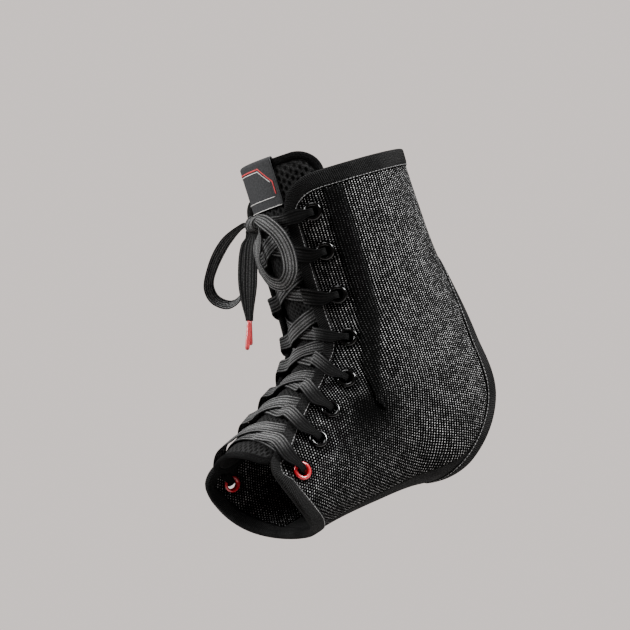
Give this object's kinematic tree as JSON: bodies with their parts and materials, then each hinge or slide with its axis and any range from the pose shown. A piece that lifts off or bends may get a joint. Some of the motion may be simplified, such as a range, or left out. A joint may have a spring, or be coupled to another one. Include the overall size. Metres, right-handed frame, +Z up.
{
  "type": "lace-up ankle brace",
  "caption": "Lace-up fabric ankle brace: two woven sides with stay pockets, open heel, padded tongue, eyelets and a tied flat lace.",
  "frame": {"origin": "middle of the wearer's ankle joint, on the plane of symmetry, 78 mm above the sole of the foot", "axes": "+Z up the leg, -Y towards the toes, +X to the side that the picture shows; X = 0 is the plane of symmetry of the brace without its bow"},
  "size_m": [0.1024, 0.1705, 0.2141],
  "materials": {
    "woven_mesh": "black woven mesh with small light grey dots",
    "plain_knit": "plain black knit",
    "binding": "charcoal ribbed binding with a light stitch line",
    "spacer_mesh": "black spacer mesh with coarse holes",
    "label": "grey woven tape with a red and a white line",
    "eyelet_black": "glossy black",
    "eyelet_red": "glossy red",
    "lace": "flat black lace with light ribs",
    "aglet": "glossy red"
  },
  "bodies": {
    "root": {"side_panel_right": "woven_mesh", "side_panel_left": "woven_mesh", "back_gusset": "plain_knit", "sole_gusset": "plain_knit", "edge_binding": "binding", "heel_binding": "binding", "stay_pocket_right": "plain_knit", "stay_pocket_left": "plain_knit", "tongue": "spacer_mesh", "tongue_binding": "plain_knit", "label": "label", "lace": "lace", "lace_knot": "lace", "bow_loop_right": "lace", "bow_loop_left": "lace", "lace_end_right": "lace", "lace_end_left": "lace", "aglet_right": "aglet", "aglet_left": "aglet", "eyelet_right_1": "eyelet_black", "eyelet_right_2": "eyelet_black", "eyelet_right_3": "eyelet_black", "eyelet_right_4": "eyelet_black", "eyelet_right_5": "eyelet_black", "eyelet_right_6": "eyelet_black", "eyelet_right_7": "eyelet_black", "eyelet_right_8": "eyelet_red", "eyelet_left_1": "eyelet_black", "eyelet_left_2": "eyelet_black", "eyelet_left_3": "eyelet_black", "eyelet_left_4": "eyelet_black", "eyelet_left_5": "eyelet_black", "eyelet_left_6": "eyelet_black", "eyelet_left_7": "eyelet_black", "eyelet_left_8": "eyelet_red"}
  },
  "joints": []
}
